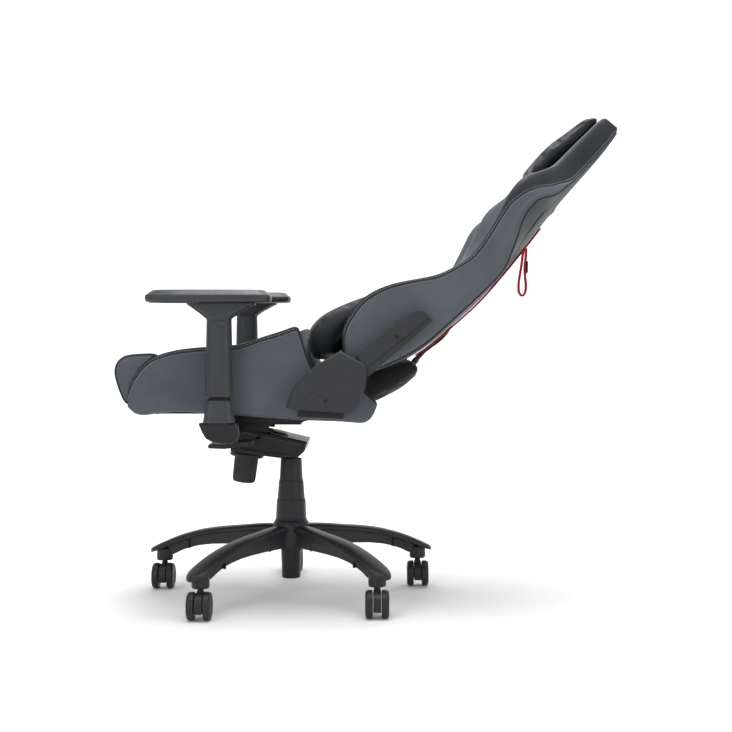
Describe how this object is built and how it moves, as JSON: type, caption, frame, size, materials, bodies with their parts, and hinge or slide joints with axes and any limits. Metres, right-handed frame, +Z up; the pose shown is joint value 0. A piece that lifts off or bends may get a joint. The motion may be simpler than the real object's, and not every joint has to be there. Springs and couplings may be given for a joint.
{
  "type": "gaming chair",
  "caption": "Reclining gaming chair with bolstered leather seat and back, pillows, adjustable armrests, tilt mechanism, gas lift and a star base on casters.",
  "frame": {"origin": "on the floor, under the middle of the chair's overall box", "axes": "the sitter faces -Y, +X is the sitter's left, +Z up"},
  "size_m": [0.7217, 1.1232, 1.1334],
  "materials": {
    "nylon": "satin",
    "satin_plastic": "satin",
    "cover_plastic": "matte",
    "black_steel": "satin",
    "chrome": "polished",
    "grey_leather": "satin",
    "black_leather": "satin",
    "black_cloth": "matte",
    "red_webbing": "matte"
  },
  "bodies": {
    "base": {"star_base": "nylon", "gas_outer_tube": "black_steel", "cover_lower": "nylon"},
    "spindle": {"piston_rod": "chrome"},
    "chassis": {"pressure_tube": "black_steel", "tilt_housing": "black_steel", "tilt_spring": "black_steel", "pivot_shaft": "chrome", "cover_upper": "nylon"},
    "middle_cover": {"cover_middle": "nylon"},
    "knob": {"tension_knob": "nylon"},
    "lift_lever": {"lift_lever": "nylon"},
    "tilt_lever": {"tilt_lever": "nylon"},
    "seat": {"seat_plate": "black_steel", "seat_frame": "black_steel", "seat_cushion": "black_leather", "seat_bolster_left": "grey_leather", "seat_bolster_right": "grey_leather", "recliner_left": "black_steel", "recliner_right": "black_steel", "recline_shaft": "chrome", "hinge_cover_left": "cover_plastic", "hinge_cover_right": "cover_plastic", "arm_left_bracket": "black_steel", "arm_right_bracket": "black_steel", "arm_left_shroud": "satin_plastic", "arm_right_shroud": "satin_plastic"},
    "recline_lever": {"recline_lever": "cover_plastic"},
    "back": {"back_frame": "black_steel", "back_shell": "black_leather", "back_cushion": "black_leather", "back_bolster_left": "grey_leather", "back_bolster_right": "grey_leather", "back_arm_cover_left": "cover_plastic", "back_arm_cover_right": "cover_plastic", "rear_pouch": "black_cloth", "cable": "nylon"},
    "lumbar_pillow": {"lumbar_pillow": "black_leather"},
    "head_pillow": {"head_pillow": "black_leather"},
    "strap": {"strap_loop": "red_webbing"},
    "arm_left_upper": {"arm_left_sleeve": "satin_plastic"},
    "arm_left_button": {"arm_left_button": "satin_plastic"},
    "arm_left_slide_plate": {"arm_left_slide_plate": "black_steel"},
    "arm_left_turntable": {"arm_left_turntable": "black_steel"},
    "arm_left_pad": {"arm_left_pad": "satin_plastic"},
    "arm_right_upper": {"arm_right_sleeve": "satin_plastic"},
    "arm_right_button": {"arm_right_button": "satin_plastic"},
    "arm_right_slide_plate": {"arm_right_slide_plate": "black_steel"},
    "arm_right_turntable": {"arm_right_turntable": "black_steel"},
    "arm_right_pad": {"arm_right_pad": "satin_plastic"},
    "caster_1": {"caster_hood_1": "nylon"},
    "caster_1_wheels": {"caster_wheels_1": "nylon"},
    "caster_2": {"caster_hood_2": "nylon"},
    "caster_2_wheels": {"caster_wheels_2": "nylon"},
    "caster_3": {"caster_hood_3": "nylon"},
    "caster_3_wheels": {"caster_wheels_3": "nylon"},
    "caster_4": {"caster_hood_4": "nylon"},
    "caster_4_wheels": {"caster_wheels_4": "nylon"},
    "caster_5": {"caster_hood_5": "nylon"},
    "caster_5_wheels": {"caster_wheels_5": "nylon"}
  },
  "joints": [
    {"name": "seat_swivel", "type": "hinge", "parent": "base", "child": "spindle", "pos_m": [0, -0.188, 0.048], "axis": [0, 0, 1], "continuous": true},
    {"name": "seat_height", "type": "slide", "parent": "spindle", "child": "chassis", "axis": [0, 0, 1], "range_m": [-0.08, 0.01]},
    {"name": "middle_cover_slide", "type": "slide", "parent": "base", "child": "middle_cover", "axis": [0, 0, 1], "range_m": [-0.04, 0.005]},
    {"name": "tension_knob_turn", "type": "hinge", "parent": "chassis", "child": "knob", "pos_m": [0, -0.294, 0.341], "axis": [0, 0.1219, 0.9925], "continuous": true},
    {"name": "lift_lever_pull", "type": "hinge", "parent": "chassis", "child": "lift_lever", "pos_m": [-0.1, -0.26, 0.378], "axis": [-1, 0, 0], "range_deg": [0, 8], "stiffness_Nm_per_rad": 2, "springref_deg": -5.73},
    {"name": "tilt_lever_pull", "type": "hinge", "parent": "chassis", "child": "tilt_lever", "pos_m": [0.1, -0.26, 0.378], "axis": [-1, 0, 0], "range_deg": [0, 8], "stiffness_Nm_per_rad": 2, "springref_deg": -5.73},
    {"name": "seat_tilt", "type": "hinge", "parent": "chassis", "child": "seat", "pos_m": [0, -0.326, 0.4], "axis": [-1, 0, 0], "range_deg": [0, 10], "stiffness_Nm_per_rad": 300, "springref_deg": -20.05},
    {"name": "recline_lever_pull", "type": "hinge", "parent": "seat", "child": "recline_lever", "pos_m": [-0.279, -0.142, 0.478], "axis": [-1, 0, 0], "range_deg": [0, 25], "stiffness_Nm_per_rad": 1, "springref_deg": -5.73},
    {"name": "back_recline", "type": "hinge", "parent": "seat", "child": "back", "pos_m": [0, -0.095, 0.48], "axis": [-1, 0, 0], "range_deg": [-35, 20]},
    {"name": "lumbar_pillow_slide", "type": "slide", "parent": "back", "child": "lumbar_pillow", "axis": [0, 0.7071, 0.7071], "range_m": [0, 0.06]},
    {"name": "head_pillow_slide", "type": "slide", "parent": "back", "child": "head_pillow", "axis": [0, 0.7071, 0.7071], "range_m": [-0.06, 0]},
    {"name": "strap_swing", "type": "hinge", "parent": "back", "child": "strap", "pos_m": [0, 0.376, 0.834], "axis": [-1, 0, 0], "range_deg": [-15, 40]},
    {"name": "arm_left_height", "type": "slide", "parent": "seat", "child": "arm_left_upper", "axis": [0, 0, 1], "range_m": [-0.006, 0.07]},
    {"name": "arm_left_button_press", "type": "slide", "parent": "arm_left_upper", "child": "arm_left_button", "axis": [-1, 0, 0], "range_m": [0, 0.002], "stiffness_N_per_m": 400, "springref_m": -0.002},
    {"name": "arm_left_sideways", "type": "slide", "parent": "arm_left_upper", "child": "arm_left_slide_plate", "axis": [1, 0, 0], "range_m": [-0.012, 0.012]},
    {"name": "arm_left_swivel", "type": "hinge", "parent": "arm_left_slide_plate", "child": "arm_left_turntable", "pos_m": [0.305, -0.325, 0.697], "axis": [0, 0, 1], "range_deg": [-25, 25]},
    {"name": "arm_left_fore_aft", "type": "slide", "parent": "arm_left_turntable", "child": "arm_left_pad", "axis": [0, 1, 0], "range_m": [-0.025, 0.025]},
    {"name": "arm_right_height", "type": "slide", "parent": "seat", "child": "arm_right_upper", "axis": [0, 0, 1], "range_m": [-0.024, 0.052]},
    {"name": "arm_right_button_press", "type": "slide", "parent": "arm_right_upper", "child": "arm_right_button", "axis": [1, 0, 0], "range_m": [0, 0.002], "stiffness_N_per_m": 400, "springref_m": -0.002},
    {"name": "arm_right_sideways", "type": "slide", "parent": "arm_right_upper", "child": "arm_right_slide_plate", "axis": [-1, 0, 0], "range_m": [-0.012, 0.012]},
    {"name": "arm_right_swivel", "type": "hinge", "parent": "arm_right_slide_plate", "child": "arm_right_turntable", "pos_m": [-0.305, -0.325, 0.715], "axis": [0, 0, -1], "range_deg": [-25, 25]},
    {"name": "arm_right_fore_aft", "type": "slide", "parent": "arm_right_turntable", "child": "arm_right_pad", "axis": [0, 1, 0], "range_m": [-0.025, 0.025]},
    {"name": "caster_1_swivel", "type": "hinge", "parent": "base", "child": "caster_1", "pos_m": [0.2565, 0.0197, 0.08], "axis": [0, 0, 1], "continuous": true},
    {"name": "caster_1_roll", "type": "hinge", "parent": "caster_1", "child": "caster_1_wheels", "pos_m": [0.2765, 0.0197, 0.031], "axis": [0, 1, 0], "continuous": true},
    {"name": "caster_2_swivel", "type": "hinge", "parent": "base", "child": "caster_2", "pos_m": [-0.1183, 0.1201, 0.08], "axis": [0, 0, 1], "continuous": true},
    {"name": "caster_2_roll", "type": "hinge", "parent": "caster_2", "child": "caster_2_wheels", "pos_m": [-0.0983, 0.1201, 0.031], "axis": [0, 1, 0], "continuous": true},
    {"name": "caster_3_swivel", "type": "hinge", "parent": "base", "child": "caster_3", "pos_m": [-0.3295, -0.2053, 0.08], "axis": [0, 0, 1], "continuous": true},
    {"name": "caster_3_roll", "type": "hinge", "parent": "caster_3", "child": "caster_3_wheels", "pos_m": [-0.3095, -0.2053, 0.031], "axis": [0, 1, 0], "continuous": true},
    {"name": "caster_4_swivel", "type": "hinge", "parent": "base", "child": "caster_4", "pos_m": [-0.0854, -0.5068, 0.08], "axis": [0, 0, 1], "continuous": true},
    {"name": "caster_4_roll", "type": "hinge", "parent": "caster_4", "child": "caster_4_wheels", "pos_m": [-0.0654, -0.5068, 0.031], "axis": [0, 1, 0], "continuous": true},
    {"name": "caster_5_swivel", "type": "hinge", "parent": "base", "child": "caster_5", "pos_m": [0.2768, -0.3677, 0.08], "axis": [0, 0, 1], "continuous": true},
    {"name": "caster_5_roll", "type": "hinge", "parent": "caster_5", "child": "caster_5_wheels", "pos_m": [0.2968, -0.3677, 0.031], "axis": [0, 1, 0], "continuous": true}
  ],
  "couplings": [
    {"joint": "middle_cover_slide", "follows": "seat_height", "ratio": 0.5},
    {"joint": "strap_swing", "follows": "back_recline", "ratio": -0.6}
  ]
}
